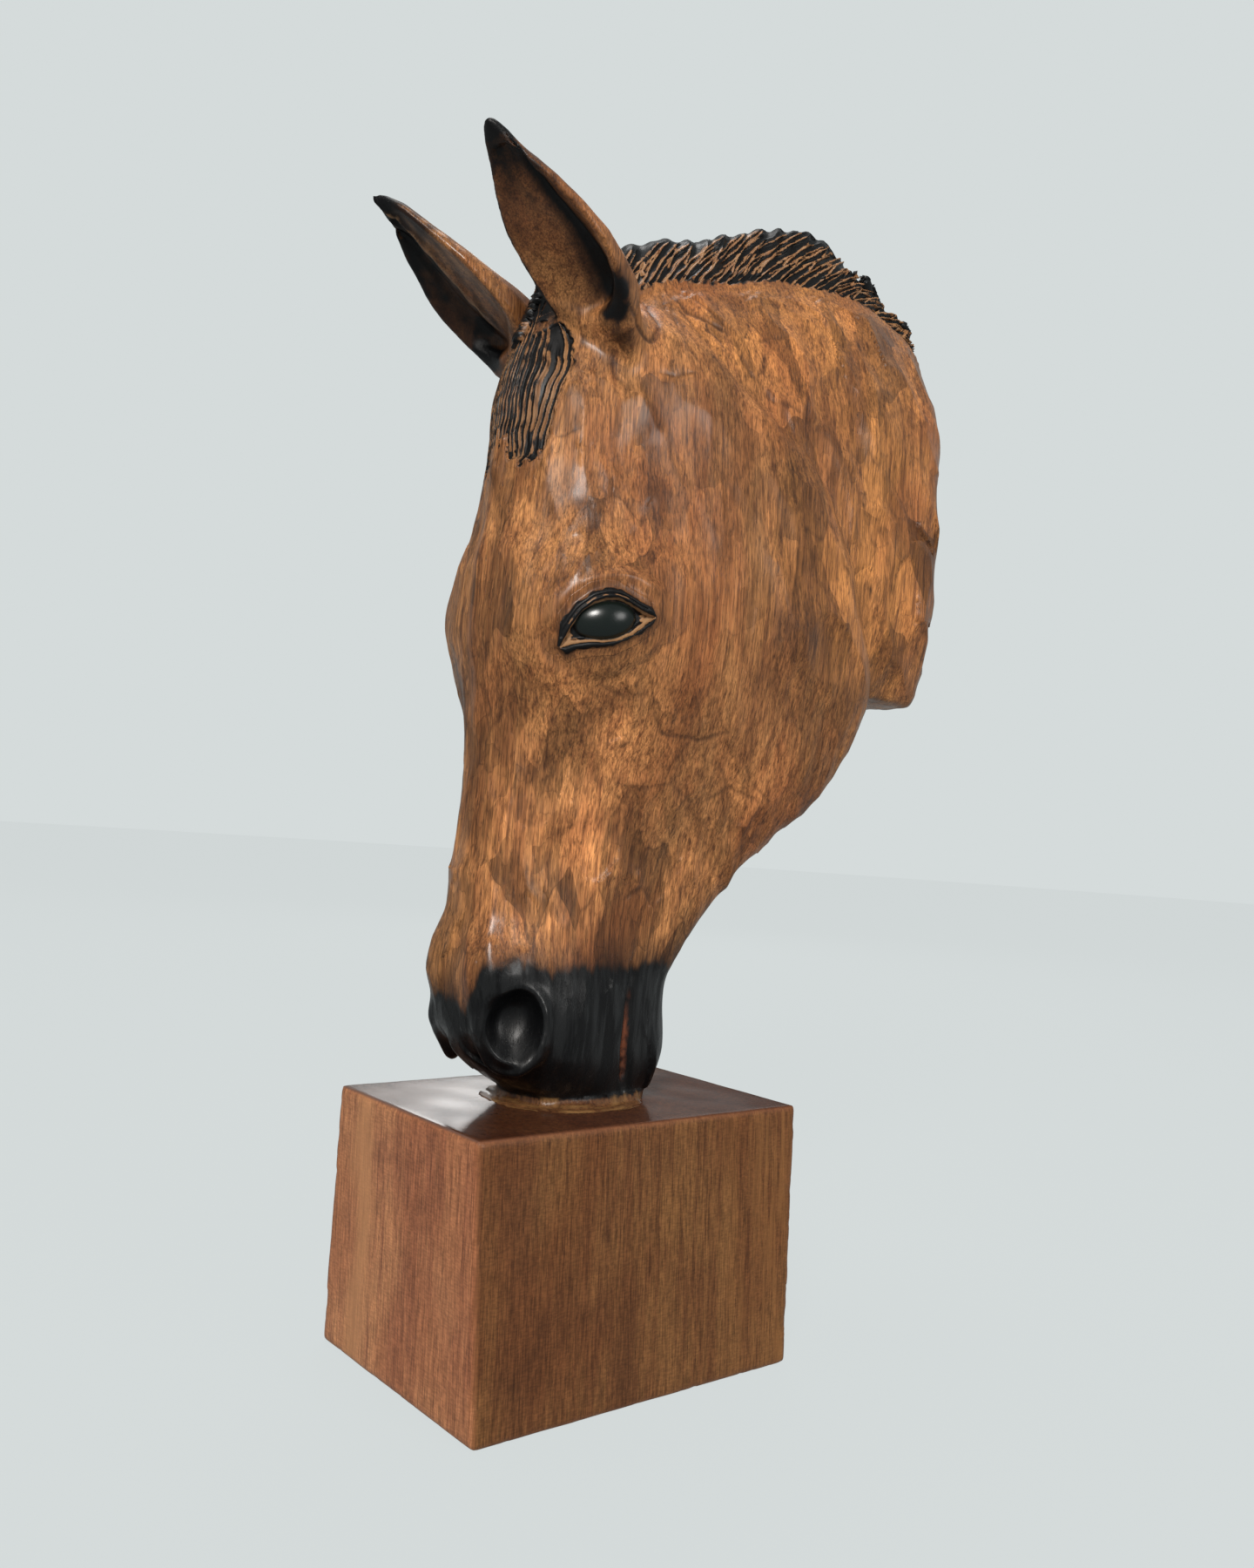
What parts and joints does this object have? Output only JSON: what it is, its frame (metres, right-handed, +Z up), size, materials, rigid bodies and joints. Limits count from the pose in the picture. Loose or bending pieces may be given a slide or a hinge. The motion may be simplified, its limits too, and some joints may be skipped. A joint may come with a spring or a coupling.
{
  "type": "horse head sculpture",
  "caption": "Carved wooden horse head, nose down on a solid rectangular block, with pricked ears, a cut mane and forelock, and a scorched muzzle.",
  "frame": {"origin": "centre of the block's flat underside", "axes": "+Z up; the face looks towards -Y and the sawn neck towards +Y; +X is the horse's left side"},
  "size_m": [0.1086, 0.2646, 0.4801],
  "materials": {
    "carved_wood": "hand-carved hardwood under satin varnish, scorched black on the muzzle, ear rims, eyes and mane"
  },
  "bodies": {
    "root": {"horse_head_carving": "carved_wood"}
  },
  "joints": []
}
